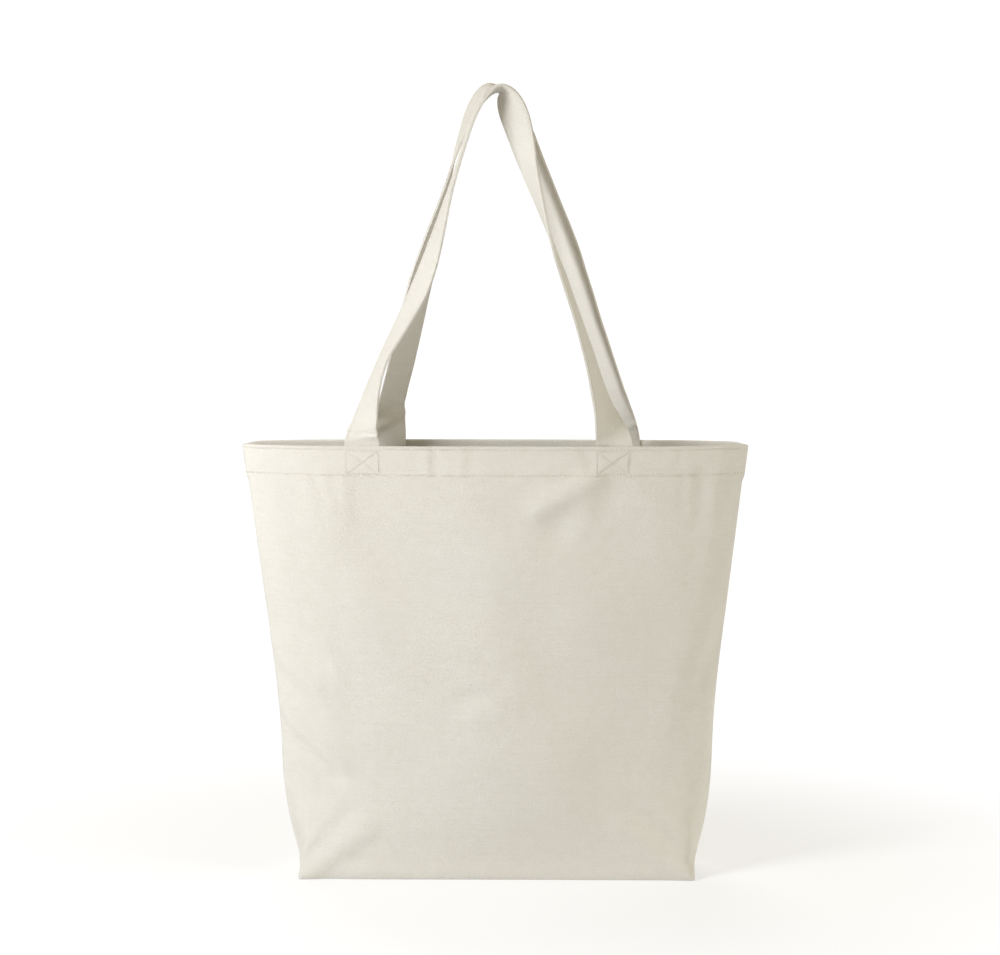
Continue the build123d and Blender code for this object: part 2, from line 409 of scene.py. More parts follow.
# The bag's skin.
bag = {
    "baseHalf": 0.178,  # half the base's length
    "rimFlatHalf": 0.177,  # half the straight middle of the rim
    "cloth": 0.0009,  # thickness of the canvas
    "hem": 0.027,
    "sideBulge": 0.0065,  # how far the sides stand out near the base
    "bulgeHeight": 0.070,
    "bulgeSpread": 0.062,
    "boxedTo": 0.11,  # height up to which the boxed outline turns into a rounded one
    "roundLow": 3.6,  # power of the rounded outline low down
    "roundRim": 7.0,  # and at the rim, where the sides turn in more sharply
    "easeBase": 0.006,  # how wide the corners are eased
    "easeRim": 0.040,
    "belly": 0.0090,  # how far the big faces stand out at mid height
    "swell": 0.0070,  # the middle stands out this much more than the rest of a big face
    "waviness": 0.0042,
    "backLift": 0.0022,  # the back rim stands this much higher
    "lean": 0.0022,  # the rim sits this much to the left at its corners
    "seamGap": 0.00025,  # from a seam's middle to each panel
}
sideSign = {"front": -1, "back": 1}
clothHalf = bag["baseHalf"] + baseDepthHalf  # from the middle of a panel to its side seam, along the cloth

# Folds and hollows pressed into the cloth: side, start and end as (along the cloth, height), depth, width.
# Positive depth stands out.
folds = [
    ("front", (0.090, 0.360), (0.040, 0.334), 0.0036, 0.0085),
    ("front", (0.100, 0.346), (0.056, 0.316), -0.0042, 0.0170),
    ("front", (0.020, 0.330), (0.110, 0.300), -0.0034, 0.0300),
    ("front", (-0.014, 0.196), (0.006, 0.188), -0.0024, 0.0085),
    ("front", (-0.030, 0.166), (0.000, 0.174), -0.0022, 0.0090),
    ("front", (0.030, 0.250), (0.060, 0.180), -0.0034, 0.0300),
    ("front", (-0.222, 0.150), (-0.160, 0.104), 0.0030, 0.0085),
    ("front", (-0.220, 0.122), (-0.166, 0.090), -0.0028, 0.0080),
    ("front", (-0.226, 0.230), (-0.176, 0.196), -0.0024, 0.0090),
    ("front", (-0.226, 0.200), (-0.180, 0.172), 0.0020, 0.0085),
    ("front", (-0.056, 0.393), (-0.055, 0.366), -0.0019, 0.0030),
    ("front", (-0.023, 0.393), (-0.024, 0.364), -0.0017, 0.0028),
    ("front", (0.078, 0.386), (0.086, 0.368), -0.0020, 0.0028),
    ("front", (0.166, 0.384), (0.164, 0.368), -0.0016, 0.0028),
    ("front", (0.172, 0.362), (0.176, 0.332), -0.0010, 0.0034),
    ("front", (0.186, 0.366), (0.190, 0.328), -0.0013, 0.0040),
    ("front", (0.201, 0.366), (0.202, 0.334), 0.0011, 0.0040),
    ("front", (0.216, 0.366), (0.214, 0.340), -0.0012, 0.0040),
    ("front", (-0.166, 0.362), (-0.162, 0.338), -0.0009, 0.0034),
    ("front", (-0.140, 0.362), (-0.138, 0.342), 0.0008, 0.0034),
    ("front", (0.174, 0.004), (0.122, 0.046), 0.0026, 0.0090),
    ("front", (0.176, 0.018), (0.142, 0.064), -0.0020, 0.0090),
    ("front", (-0.174, 0.004), (-0.124, 0.044), 0.0026, 0.0090),
    ("front", (-0.176, 0.020), (-0.148, 0.060), -0.0020, 0.0090),
    ("front", (-0.110, 0.300), (0.010, 0.236), -0.0030, 0.0340),
    ("front", (-0.150, 0.340), (-0.128, 0.240), 0.0026, 0.0280),
    ("front", (0.060, 0.240), (0.130, 0.140), -0.0034, 0.0380),
    ("front", (-0.090, 0.150), (0.050, 0.090), 0.0026, 0.0320),
    ("back", (0.174, 0.004), (0.122, 0.048), 0.0024, 0.0085),
    ("back", (-0.174, 0.004), (-0.128, 0.052), 0.0024, 0.0085),
    ("back", (-0.070, 0.364), (-0.108, 0.324), -0.0034, 0.0110),
    ("back", (0.040, 0.300), (0.110, 0.220), -0.0034, 0.0300),
    ("back", (-0.100, 0.230), (-0.020, 0.130), 0.0030, 0.0320),
    ("back", (0.020, 0.110), (0.120, 0.080), -0.0026, 0.0260),
    ("back", (-0.215, 0.330), (-0.190, 0.270), -0.0022, 0.0080),
    ("back", (0.225, 0.160), (0.168, 0.110), 0.0026, 0.0080),
]


def ringPoint(along, height):
    # the front half's outline at a height, before any slack: along runs from -1 to 1 between the seams
    share = height / rimHeight
    bulge = bag["sideBulge"] * bell(height - bag["bulgeHeight"], bag["bulgeSpread"])
    bulge *= 1 - bell(height, 0.020)
    seam = mix(bag["baseHalf"], mouthHalf - 0.0006, share) + bulge
    corner = mix(bag["baseHalf"], bag["rimFlatHalf"], share)
    depth = mix(baseDepthHalf - 0.0008, rimDepthHalf, share)
    depth += bag["belly"] * math.sin(math.pi * share)
    gusset = math.hypot(seam - corner, depth)
    run = abs(along) * (corner + gusset)
    if run < corner:
        x, y = run, -depth
    else:
        part = (run - corner) / gusset
        x, y = mix(corner, seam, part), -depth * (1 - part)
    # boxed at the base, and rounding over to the side seams higher up
    power = mix(bag["roundLow"], bag["roundRim"], smooth(0.16, rimHeight, height))
    rounded = smooth(0.0, bag["boxedTo"], height)
    x = mix(x, seam * abs(along), rounded)
    y = mix(y, -depth * (1 - abs(along) ** power), rounded)
    return math.copysign(x, along), y


def softRing(along, height):
    # the outline with its corners eased: crisp at the base, wide and soft at the rim
    ease = mix(bag["easeBase"], bag["easeRim"], smooth(0.0, 0.10, height)) / clothHalf
    ease = min(ease, (1 - abs(along)) * 0.98)
    x = y = total = 0.0
    for k in range(-3, 4):
        weight = 4 - abs(k)
        px, py = ringPoint(along + ease * k / 3, height)
        x, y, total = x + px * weight, y + py * weight, total + weight
    return x / total, y / total


def foldDepth(side, run, height):
    total = 0.0
    for where, start, end, depth, width in folds:
        if where != side:
            continue
        ax, az = run - start[0], height - start[1]
        bx, bz = end[0] - start[0], end[1] - start[1]
        length = math.hypot(bx, bz)
        lengthwise = (ax * bx + az * bz) / length
        off = (ax * bz - az * bx) / length
        past = max(-lengthwise, lengthwise - length, 0.0)
        taper = bell(past, width * 1.2)
        lobe = bell(off, width) - 0.45 * bell(off - 1.9 * width, width * 1.1)
        total += depth * taper * lobe
    return total


def waves(side, run, height):
    seed = 3.1 if side == "front" else 11.7  # a place in the noise, so that the two sides differ
    broad = noise.noise(Vector((run * 7.0, height * 5.5, seed)))
    fine = noise.noise(Vector((run * 19.0, height * 15.0, seed + 5.0)))
    return bag["waviness"] * (broad * 1.2 + fine * 0.30)


def skinRaw(side, along, height):
    # a point of the outer face, without the simulated slack
    x, y = softRing(along, height)
    run = along * clothHalf
    share = height / rimHeight
    hemmed = smooth(rimHeight - 0.045, rimHeight - 0.010, height)
    held = 1 - 0.70 * hemmed  # the doubled hem is stiffer
    low = smooth(0.0, 0.035, height)
    seamHeld = smooth(0.0, 0.05, 1 - abs(along))
    out = waves(side, run, height) * held * low * seamHeld
    out += bag["swell"] * bell(run, 0.10) * held * smooth(0.0, 0.07, height)
    out += foldDepth(side, run, height) * seamHeld
    nearX, nearY = softRing(min(along + 0.01, 1.0), height)
    farX, farY = softRing(max(along - 0.01, -1.0), height)
    dx, dy = nearX - farX, nearY - farY
    length = math.hypot(dx, dy) or 1.0
    x, y = x + out * dy / length, y - out * dx / length
    x -= bag["lean"] * share * along**2
    y = min(y, 0.0)
    edge = bell(height, 0.0022)  # the cloth turns under at the base
    y += 0.0016 * edge * smooth(0.0, 0.02, abs(y))
    if side == "front":
        return Vector((x, y, height))
    return Vector((x, -y, height + bag["backLift"] * smooth(0.2, rimHeight, height) * seamHeld))


# Slack that a cloth simulation gives both panels.
slackRules = {
    "columns": 56,  # for one panel, between its side seams
    "rows": 46,
    "steps": 26,
    "excess": 0.006,  # the cloth is cut this much larger than the shape that holds it
    "stiffness": 25,
    "shear": 12,
    "bending": 12.0,
    "cap": 0.0030,
    "share": 0.7,  # of the settled slack that the finished cloth keeps
}
slackMap = {"front": None, "back": None}


def tubeFaces(rows, around):
    faces = []
    for low in range(0, rows * around, around):
        high = low + around
        for c in range(around):
            after = (c + 1) % around
            faces.append((low + c, low + after, high + after, high + c))
    return faces


def simulateSlack():
    # both panels as one open tube of cloth, held at the hem and the base, sag into their spare length
    columns, rows = slackRules["columns"], slackRules["rows"]
    ring = [("front", 2 * c / columns - 1) for c in range(columns)]
    ring += [("back", 1 - 2 * c / columns) for c in range(columns)]
    around = len(ring)
    heights = [rimHeight * r / rows for r in range(rows + 1)]
    verts = [skinRaw(side, along, height) for height in heights for side, along in ring]
    mesh = bpy.data.meshes.new("slack")
    mesh.from_pydata(verts, [], tubeFaces(rows, around))
    cloth = addObject("slack", mesh)

    held = cloth.vertex_groups.new(name="held")
    for r, height in enumerate(heights):
        for c, (side, along) in enumerate(ring):
            grip = smooth(rimHeight - 0.040, rimHeight - 0.024, height)
            grip = max(grip, 1 - smooth(0.004, 0.016, height), bell(1 - abs(along), 0.03))
            held.add([r * around + c], grip, "REPLACE")
    modifier = cloth.modifiers.new("cloth", "CLOTH")
    rules = modifier.settings
    rules.quality = 6
    rules.mass = 0.4
    rules.tension_stiffness = rules.compression_stiffness = slackRules["stiffness"]
    rules.shear_stiffness = slackRules["shear"]
    rules.bending_stiffness = slackRules["bending"]
    rules.air_damping = 3
    rules.vertex_group_mass = "held"
    rules.pin_stiffness = 1.0
    rules.shrink_min = -slackRules["excess"]
    modifier.collision_settings.use_collision = False
    modifier.point_cache.frame_start = 1
    modifier.point_cache.frame_end = slackRules["steps"]
    scene = bpy.context.scene
    for step in range(1, slackRules["steps"] + 1):
        scene.frame_set(step)
    depsgraph = bpy.context.evaluated_depsgraph_get()
    settled = cloth.evaluated_get(depsgraph).to_mesh()
    moved = [v.co.copy() for v in settled.vertices]
    scene.frame_set(1)
    bpy.data.objects.remove(cloth)

    for side in slackMap:
        table = []
        for r in range(rows + 1):
            line = []
            for c in range(columns + 1):
                index = c if side == "front" else (2 * columns - c) % around
                spot = r * around + index
                shift = moved[spot] - verts[spot]
                if shift.length > slackRules["cap"]:
                    shift = shift.normalized() * slackRules["cap"]
                line.append(shift * slackRules["share"])
            table.append(line)
        slackMap[side] = table
    print("slack settled")


def slackAt(side, along, height):
    table = slackMap[side]
    if table is None:
        return Vector((0, 0, 0))
    columns, rows = slackRules["columns"], slackRules["rows"]
    c = min(max((along + 1) / 2 * columns, 0.0), columns - 1e-6)
    r = min(max(height / rimHeight * rows, 0.0), rows - 1e-6)
    ci, ri = int(c), int(r)
    low = table[ri][ci].lerp(table[ri][ci + 1], c - ci)
    high = table[ri + 1][ci].lerp(table[ri + 1][ci + 1], c - ci)
    return low.lerp(high, r - ri)


def skin(side, along, height):
    point = skinRaw(side, along, height) + slackAt(side, along, height)
    if side == "front":
        point.y = min(point.y, 0.0)
    else:
        point.y = max(point.y, 0.0)
    return point


def skinNormal(side, along, height):
    reach = 0.006
    across = skin(side, min(along + reach, 1.0), height) - skin(side, max(along - reach, -1.0), height)
    up = skin(side, along, min(height + 0.002, rimHeight)) - skin(side, along, max(height - 0.002, 0.0))
    normal = across.cross(up).normalized()
    return normal if side == "front" else -normal


def clothPiece(name, verts, faces, uvs, material):
    mesh = bpy.data.meshes.new(name)
    mesh.from_pydata(verts, [], faces)
    layer = mesh.uv_layers.new(name="cloth")
    for slot, uv in zip(layer.data, uvs):
        slot.uv = uv
    mesh.materials.append(material)
    mesh.shade_smooth()
    return addObject(name, mesh)


def sheetOf(name, sheets, material):
    # joins grids of (point, uv) into one sheet and gives it the cloth's thickness
    verts, faces, uvs, index = [], [], [], {}

    def vertex(point):
        key = tuple(round(c, 6) for c in point)
        if key not in index:
            index[key] = len(verts)
            verts.append(point)
        return index[key]

    for grid, flip in sheets:
        ids = [[vertex(point) for point, uv in line] for line in grid]
        for r in range(len(grid) - 1):
            for c in range(len(grid[r]) - 1):
                corners = [(r, c), (r, c + 1), (r + 1, c + 1), (r + 1, c)]
                if flip:
                    corners.reverse()
                loop = [ids[i][j] for i, j in corners]
                if len(set(loop)) == 4:
                    faces.append(loop)
                    uvs += [grid[i][j][1] for i, j in corners]
    piece = clothPiece(name, verts, faces, uvs, material)
    finer = piece.modifiers.new("finer", "SUBSURF")
    finer.levels = finer.render_levels = 1
    finer.uv_smooth = "PRESERVE_BOUNDARIES"
    wall = piece.modifiers.new("wall", "SOLIDIFY")
    wall.thickness = bag["cloth"]
    wall.offset = -1.0
    return piece


def panelHeights():
    # close rows where the cloth turns under at the base and along the hem
    low = [0.0, 0.0012, 0.0030, 0.0060]
    body = [0.0100 + 0.0052 * k for k in range(66)]
    hem = (0.0340, 0.0300, 0.0278, 0.0266, 0.0250, 0.0236, 0.0200, 0.0150, 0.0100, 0.0060, 0.0042, 0.0030,
           0.0018, 0.0007)
    top = [rimHeight - down for down in hem]
    return low + [height for height in body if height < top[0] - 0.003] + top


def panelColumns():
    count = 88
    return [2 * c / count - 1 for c in range(count + 1)]


def drawnIn(height):
    # the stitch rows draw the doubled cloth in, and the cloth under the hem is one layer
    pull = 0.00022 * bell(height - hemRowHeight, 0.0014) + 0.00014 * bell(height - rimRowHeight, 0.0012)
    hemEdge = rimHeight - bag["hem"]
    step = 0.00045 * (1 - smooth(hemEdge - 0.0016, hemEdge + 0.0004, height))
    return pull + step * smooth(rimHeight - 0.075, hemEdge, height)


def wallGrid(side, heights, columns):
    # the outer face, from the base's edge up to the rim
    grid = []
    for height in heights:
        line = []
        for along in columns:
            point = skin(side, along, height) - skinNormal(side, along, height) * drawnIn(height)
            if abs(along) > 0.999:
                point.y = sideSign[side] * bag["seamGap"]
            line.append((point, (along * clothHalf, height)))
        grid.append(line)
    return grid


def hemRoute():
    # how far inwards and how high the hem lies, over the rim's fold and down the inside
    turn = bag["cloth"] + 0.00015
    route = []
    for angle, lift in ((60, 0.0003), (120, 0.0003), (180, -0.0008)):
        route.append(((1 - math.cos(math.radians(angle))) * turn, rimHeight + lift))
    for down in (0.004, 0.009, 0.015, 0.020, 0.0245, bag["hem"]):
        route.append((2 * turn, rimHeight - down))
    return route


def hemGrid(side, rimLine, columns):
    grid = [rimLine]
    for inward, height in hemRoute():
        line = []
        for along in columns:
            base = min(height, rimHeight - 0.0004)
            normal = skinNormal(side, along, base)
            point = skin(side, along, base) - Vector((normal.x, normal.y, 0)).normalized() * inward
            point.z += height - base
            if abs(along) > 0.97:
                ends = (abs(along) - 0.97) / 0.03
                point.x -= math.copysign(0.0012 * ends, along)
                point.y = mix(point.y, sideSign[side] * bag["seamGap"], ends)
            line.append((point, (along * clothHalf, 2 * rimHeight - height + 0.002)))
        grid.append(line)
    return grid


def baseGrid(side, edgeLine, columns, rows=10):
    # half of the base, from the turned-under edge to the bottom seam
    flat = [c for c, along in enumerate(columns) if abs(along) * clothHalf <= bag["baseHalf"] + 1e-4]
    grid = [[(edgeLine[c][0], (columns[c] * clothHalf, 0.0)) for c in flat]]
    for r in range(1, rows + 1):
        part = r / rows
        line = []
        for c in flat:
            x, y = edgeLine[c][0].x, edgeLine[c][0].y * (1 - part)
            z = 0.0006 * smooth(0.0, 0.12, part) * (1 - smooth(0.88, 1.0, part))
            z += 0.0005 * abs(noise.noise(Vector((x * 30, y * 30, 2.0)))) * smooth(0.0, 0.2, part)
            if part == 1.0:
                y, z = sideSign[side] * bag["seamGap"], 0.0022
            if c in (flat[0], flat[-1]):
                x = math.copysign(bag["baseHalf"] - 0.0004, x)
            line.append((Vector((x, y, z)), (columns[c] * clothHalf, -part * baseDepthHalf)))
        grid.append(line)
    return grid


def makePanel(side, material):
    heights, columns = panelHeights(), panelColumns()
    flip = side == "back"
    wall = wallGrid(side, heights, columns)
    sheets = [(wall, flip), (hemGrid(side, wall[-1], columns), flip)]
    sheets.append((baseGrid(side, wall[0], columns), not flip))
    sheets += sideAllowances(side, wall, heights, flip)
    sheets.append(bottomAllowance(side))
    sheets += cornerAllowances(side)
    piece = sheetOf(f"{side}PanelCloth", sheets, material)
    print(piece.name, len(piece.data.vertices), "points")
    return piece


seamCut = {
    "depth": 0.010,  # of a seam's allowance
    "overlock": 0.004,  # how far the overlock reaches in from the cut edge
    "gap": 0.00045,  # from the seam's middle to each side allowance
    "cornerDepth": 0.0112,
    "cornerLift": 0.0030,
    "bottomLift": {"front": 0.0046, "back": 0.0034},
}


def allowancePoint(side, end, height, depth):
    # a point on the right (end 1) or left (end -1) side seam's allowance, depth inside the seam
    seamPoint = skin(side, end, height)
    sway = 0.0012 * math.sin(height * 41 + end) * depth / seamCut["depth"]
    return Vector((seamPoint.x - end * depth, sideSign[side] * seamCut["gap"] + sway, height))


def sideAllowances(side, wall, heights, flip):
    sheets = []
    for end in (-1, 1):
        grid = []
        for height, row in zip(heights, wall):
            if height < 0.0035 or height > rimHeight - bag["hem"] - 0.001:
                continue
            line = [row[0 if end < 0 else -1]]
            for depth in (0.0025, 0.0060, seamCut["depth"]):
                run = end * (clothHalf + depth)
                line.append((allowancePoint(side, end, height, depth), (run, height)))
            grid.append(line)
        sheets.append((grid, flip if end > 0 else not flip))
    return sheets


def bottomAllowance(side):
    # both allowances of the bottom seam lie flat towards the back, the front panel's on top
    reach = bag["baseHalf"] - seamCut["depth"] - 0.003
    grid = []
    for step in range(41):
        x = mix(-reach, reach, step / 40)
        lift = seamCut["bottomLift"][side] + 0.0005 * noise.noise(Vector((x * 25, 0.3, 4.0)))
        line = [(Vector((x, sideSign[side] * bag["seamGap"], 0.0024)), (x, 0.0))]
        for y in (0.0010, 0.0055, seamCut["depth"]):
            line.append((Vector((x, y, lift)), (x, y)))
        grid.append(line)
    return grid, True


def cornerAllowances(side):
    # the boxed corners' allowances lie on the base, inside its two ends
    sheets = []
    for end in (-1, 1):
        grid = []
        for step in range(13):
            y = sideSign[side] * mix(0.0125, baseDepthHalf - 0.003, step / 12)
            line = []
            for depth in (0.0012, 0.0060, seamCut["cornerDepth"]):
                point = Vector((end * (bag["baseHalf"] - depth), y, seamCut["cornerLift"]))
                line.append((point, (depth, y)))
            grid.append(line)
        sheets.append((grid, sideSign[side] * end > 0))
    return sheets


# The straps, each one piece from sewn end to sewn end.
straps = {
    "width": 0.032,
    "thickness": 0.0024,
    "perStation": 20,  # frames from one station to the next
    "edgeRow": 0.0024,  # from the edge to the stitch row along it
    "edgeRowFrom": 0.3625,  # height where the rows along the edges begin
    "edgeRowSink": 0.00008,  # below the strap's face
    "waviness": 0.0005,
    "cupping": 0.0006,
    "unevenness": 0.018,
    "rootDepth": 0.0196,  # from the bag's middle to a strap at the rim
    "foldStart": 0.3875,  # height where the free strap leaves the hem
    "foldEnd": 0.4085,  # above this it turns as one with its handle
}
# Stations of the strap's middle in metres, and its turn in degrees: 0 faces front and 90 is edge-on.
handleStations = {
    "front_handle": [
        (-0.1210, -0.0211, 0.3610, 0),
        (-0.1210, -0.0204, 0.3730, 0),
        (-0.1210, -0.0196, 0.3900, 2),
        (-0.1185, -0.0192, 0.4090, 42),
        (-0.1035, -0.0176, 0.4630, 74),
        (-0.0665, -0.0166, 0.5360, 60),
        (-0.0395, -0.0166, 0.6240, 84),
        (-0.0195, -0.0172, 0.6840, 86),
        (0.0015, -0.0174, 0.7075, 101),
        (0.0150, -0.0170, 0.6850, 142),
        (0.0325, -0.0170, 0.6240, 112),
        (0.0532, -0.0170, 0.5580, 86),
        (0.0750, -0.0170, 0.4940, 79),
        (0.0950, -0.0184, 0.4250, 59),
        (0.1055, -0.0196, 0.3900, 2),
        (0.1055, -0.0204, 0.3730, 0),
        (0.1055, -0.0211, 0.3610, 0),
    ],
    "back_handle": [
        (-0.0995, 0.0211, 0.3610, 0),
        (-0.0995, 0.0204, 0.3730, 0),
        (-0.0995, 0.0196, 0.3900, -2),
        (-0.0965, 0.0186, 0.4220, -44),
        (-0.0855, 0.0174, 0.4680, -48),
        (-0.0690, 0.0168, 0.5370, -53),
        (-0.0510, 0.0168, 0.6020, -79),
        (-0.0375, 0.0170, 0.6500, -94),
        (-0.0210, 0.0174, 0.6930, -109),
        (-0.0050, 0.0176, 0.7100, -96),
        (0.0180, 0.0172, 0.6880, -76),
        (0.0440, 0.0168, 0.6150, -58),
        (0.0650, 0.0166, 0.5580, -51),
        (0.0860, 0.0170, 0.4940, -56),
        (0.1068, 0.0186, 0.4250, -43),
        (0.1130, 0.0196, 0.3900, -2),
        (0.1130, 0.0204, 0.3730, 0),
        (0.1130, 0.0211, 0.3610, 0),
    ],
}

# Small creases across the straps by the rim: strap, side, height, slant across the strap, depth and width.
creases = [
    ("front_handle", -1, 0.3968, 0.26, -0.0011, 0.0016),
    ("front_handle", -1, 0.4005, 0.16, 0.0009, 0.0018),
    ("front_handle", -1, 0.4050, 0.30, -0.0009, 0.0020),
    ("front_handle", 1, 0.4030, -0.30, 0.0007, 0.0030),
    ("back_handle", -1, 0.4080, 0.60, -0.0012, 0.0040),
    ("back_handle", -1, 0.4180, 0.50, 0.0010, 0.0040),
    ("back_handle", 1, 0.4370, 0.10, -0.0007, 0.0018),
    ("back_handle", 1, 0.4010, -0.20, -0.0007, 0.0022),
]


def creaseDepth(name, middle, off):
    total = 0.0
    for where, side, height, slant, depth, width in creases:
        if where == name and middle.x * side > 0:
            total += depth * bell(middle.z - height - slant * off, width)
    return total


def between(before, start, end, after, share):
    slopeIn, slopeOut = (end - before) / 2, (after - start) / 2
    s2, s3 = share**2, share**3
    rise = 3 * s2 - 2 * s3
    return start + rise * (end - start) + (s3 - 2 * s2 + share) * slopeIn + (s3 - s2) * slopeOut


def strapFrames(name):
    stations = handleStations[name]
    padded = [stations[0], *stations, stations[-1]]
    rows = []
    for i in range(len(stations) - 1):
        for k in range(straps["perStation"]):
            share = k / straps["perStation"]
            rows.append([between(*four, share) for four in zip(*padded[i:i + 4])])
    rows.append(list(stations[-1]))
    middles = [Vector(row[:3]) for row in rows]
    frames, run = [], 0.0
    for i, (middle, row) in enumerate(zip(middles, rows)):
        ahead = middles[min(i + 1, len(rows) - 1)] - middles[max(i - 1, 0)]
        ahead = Vector((ahead.x, 0, ahead.z)).normalized()
        inside = Vector((ahead.z, 0, -ahead.x))
        turn = math.radians(row[3])
        across = inside * math.cos(turn) - Vector((0, math.sin(turn), 0))
        if i:
            run += (middle - middles[i - 1]).length
        frames.append((middle, across, ahead.cross(across), run))
    return frames


def strapSection():
    # the folded strap's section, round from the middle of one face, with a groove for each stitch row
    half, thick = straps["width"] / 2, straps["thickness"] / 2
    row = half - straps["edgeRow"]
    upper = [(0.0, thick), (half * 0.45, thick + 0.0001), (row - 0.0010, thick + 0.0001),
             (row, thick - 0.00026), (row + 0.0012, thick + 0.00002), (half - 0.0004, thick - 0.0001),
             (half, thick * 0.55), (half - 0.0005, 0.0)]
    lower = [(a, -f) for a, f in reversed(upper[:-1])]
    right = upper + lower
    left = [(-a, f) for a, f in reversed(right[1:-1])]
    return right + left


def strapPoint(name, frame, a, f):
    # a point a across the strap and f off its middle, moved by the cloth's waves and creases
    middle, across, facing, run = frame
    seed = 1.0 if name == "front_handle" else 7.0
    free = smooth(0.389, 0.435, middle.z)
    wave = straps["waviness"] * noise.noise(Vector((run * 28, seed, 0.0))) * free
    cup = straps["cupping"] * noise.noise(Vector((run * 22, seed, 3.0))) * free
    cup *= 1 - (a / straps["width"] * 2) ** 2
    wide = 1 + straps["unevenness"] * noise.noise(Vector((run * 40, seed, 9.0)))
    return middle + across * a * wide + facing * (f + wave + cup + creaseDepth(name, middle, a))


def makeStrap(name, material):
    frames = strapFrames(name)
    section = strapSection()
    around = len(section)
    girth = [0.0]
    for (a, f), (c, g) in zip(section, section[1:] + section[:1]):
        girth.append(girth[-1] + math.hypot(a - c, f - g))
    verts = [strapPoint(name, frame, a, f) for frame in frames for a, f in section]
    faces = tubeFaces(len(frames) - 1, around)
    uvs = []
    for here, after in zip(frames, frames[1:]):
        low, high = here[3], after[3]
        for start, end in zip(girth, girth[1:]):
            uvs += [(start, low), (end, low), (end, high), (start, high)]
    last = len(verts) - around
    for ring in (list(reversed(range(around))), list(range(last, last + around))):
        faces.append(ring)
        uvs += [(0.001 * k, 0.0) for k in range(around)]
    piece = clothPiece(name + "Strap", verts, faces, uvs, material)
    faceOutwards(piece)
    finer = piece.modifiers.new("finer", "SUBSURF")
    finer.levels = finer.render_levels = 1
    print(piece.name, "length", round(frames[-1][3], 4))
    return piece, frames


def faceOutwards(piece):
    bpy.context.view_layer.objects.active = piece
    bpy.ops.object.select_all(action="DESELECT")
    piece.select_set(True)
    bpy.ops.object.mode_set(mode="EDIT")
    bpy.ops.mesh.select_all(action="SELECT")
    bpy.ops.mesh.normals_make_consistent(inside=False)
    bpy.ops.object.mode_set(mode="OBJECT")


# Stitches, laid along lines by geometry nodes. Each name here is also an input of the tree.
stitching = {
    "pitch": 0.0025,
    "length": 0.0021,
    "thickness": 0.00062,
    "lift": 0.00012,
    "lean": 0.10,
}
rowLift = 0.0001  # from the cloth to the line that a row of stitches follows


def stitchTree():
    tree = bpy.data.node_groups.new("stitchesAlongLines", "GeometryNodeTree")
    face = tree.interface
    face.new_socket("Geometry", in_out="INPUT", socket_type="NodeSocketGeometry")
    for name in stitching:
        face.new_socket(name.capitalize(), in_out="INPUT", socket_type="NodeSocketFloat")
    face.new_socket("Seed", in_out="INPUT", socket_type="NodeSocketInt")
    face.new_socket("Material", in_out="INPUT", socket_type="NodeSocketMaterial")
    face.new_socket("Geometry", in_out="OUTPUT", socket_type="NodeSocketGeometry")

    def add(kind, sockets, settings=None, out=0):
        made = tree.nodes.new(kind)
        for name, value in (settings or {}).items():
            setattr(made, name, value)
        for key, value in sockets.items():
            if isinstance(value, bpy.types.NodeSocket):
                tree.links.new(value, made.inputs[key])
            else:
                made.inputs[key].default_value = value
        return made.outputs[out] if len(made.outputs) else None

    def vectors(operation, sockets):
        return add("ShaderNodeVectorMath", sockets, {"operation": operation})

    given = tree.nodes.new("NodeGroupInput").outputs
    curve = add("GeometryNodeMeshToCurve", {"Mesh": given["Geometry"]})
    spaced = add("GeometryNodeResampleCurve", {"Curve": curve, "Length": given["Pitch"]},
                 {"mode": "LENGTH"})
    ball = add("GeometryNodeMeshUVSphere", {"Segments": 6, "Rings": 5, "Radius": 0.5})
    size = add("ShaderNodeCombineXYZ", {0: given["Length"], 1: given["Thickness"], 2: given["Thickness"]})
    shaped = add("GeometryNodeTransform", {"Geometry": ball, "Scale": size})

    # each stitch lies along its line, its back to the cloth, and leans a little to one side
    facing = add("GeometryNodeInputNamedAttribute", {"Name": "facing"}, {"data_type": "FLOAT_VECTOR"})
    tangent = add("GeometryNodeInputTangent", {})
    side = vectors("CROSS_PRODUCT", {0: facing, 1: tangent})
    leaning = vectors("SCALE", {0: side, "Scale": given["Lean"]})
    aim = vectors("ADD", {0: tangent, 1: leaning})
    turn = add("FunctionNodeAxesToRotation", {0: facing, 1: aim},
               {"primary_axis": "Z", "secondary_axis": "X"})
    vary = add("FunctionNodeRandomValue", {2: 0.88, 3: 1.10, "Seed": given["Seed"]},
               {"data_type": "FLOAT"}, out=1)
    raised = vectors("SCALE", {0: facing, "Scale": given["Lift"]})
    shift = add("GeometryNodeSetPosition", {"Geometry": spaced, "Offset": raised})
    placed = add("GeometryNodeInstanceOnPoints",
                 {"Points": shift, "Instance": shaped, "Rotation": turn, "Scale": vary})

    real = add("GeometryNodeRealizeInstances", {0: placed})
    smoothed = add("GeometryNodeSetShadeSmooth", {0: real})
    dressed = add("GeometryNodeSetMaterial", {"Geometry": smoothed, "Material": given["Material"]})
    add("NodeGroupOutput", {0: dressed})
    return tree


